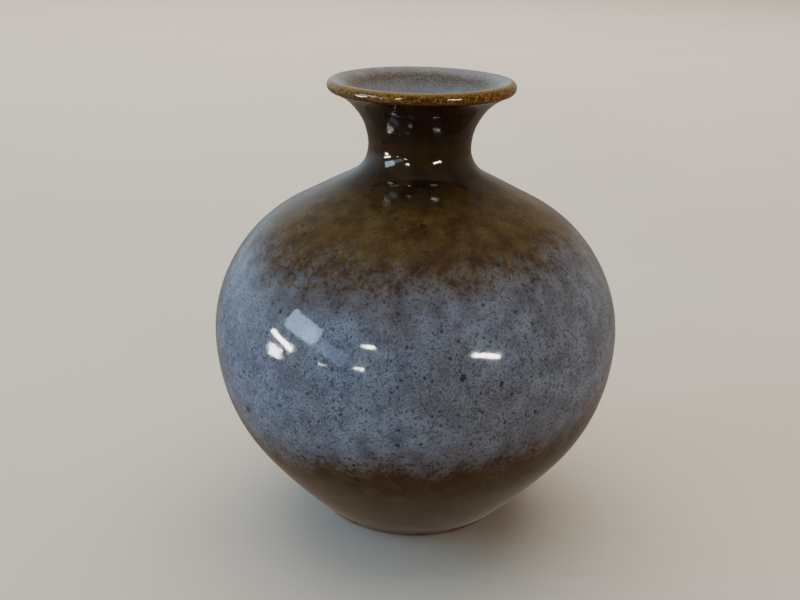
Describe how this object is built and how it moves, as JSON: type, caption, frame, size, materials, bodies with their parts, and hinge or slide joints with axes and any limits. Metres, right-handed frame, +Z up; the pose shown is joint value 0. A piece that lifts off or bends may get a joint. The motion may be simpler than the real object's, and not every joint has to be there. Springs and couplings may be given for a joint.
{
  "type": "vase",
  "caption": "Round-bellied stoneware bottle vase with a narrow neck, flared mouth and rolled lip, in dark brown glaze with a speckled blue-grey band.",
  "frame": {"origin": "middle of the plane that the foot ring stands on", "axes": "+Z up along the axis of the vase; the vase is round, so +X and +Y are free, and the pictured side faces -Y"},
  "size_m": [0.183, 0.183, 0.2],
  "materials": {
    "bare_clay": "bare toasted stoneware, fine grained and matt",
    "fired_clay": "fired stoneware, hidden under glaze",
    "brown_glaze": "glossy dark brown, mottled olive on the shoulder",
    "blue_grey_glaze": "glossy blue-grey with fine dark iron speckle and feathered edges",
    "amber_glaze": "glossy amber brown where the glaze breaks over the lip",
    "mouth_glaze": "glossy mottled grey and olive brown",
    "liner_glaze": "satin dark brown"
  },
  "bodies": {
    "root": {"foot_ring": "bare_clay", "floor_disc": "bare_clay", "belly_wall": "fired_clay", "shoulder_wall": "fired_clay", "neck_wall": "fired_clay", "lip_roll": "fired_clay", "brown_glaze": "brown_glaze", "blue_glaze_band": "blue_grey_glaze", "rim_glaze": "amber_glaze", "mouth_glaze": "mouth_glaze", "liner_glaze": "liner_glaze"}
  },
  "joints": []
}
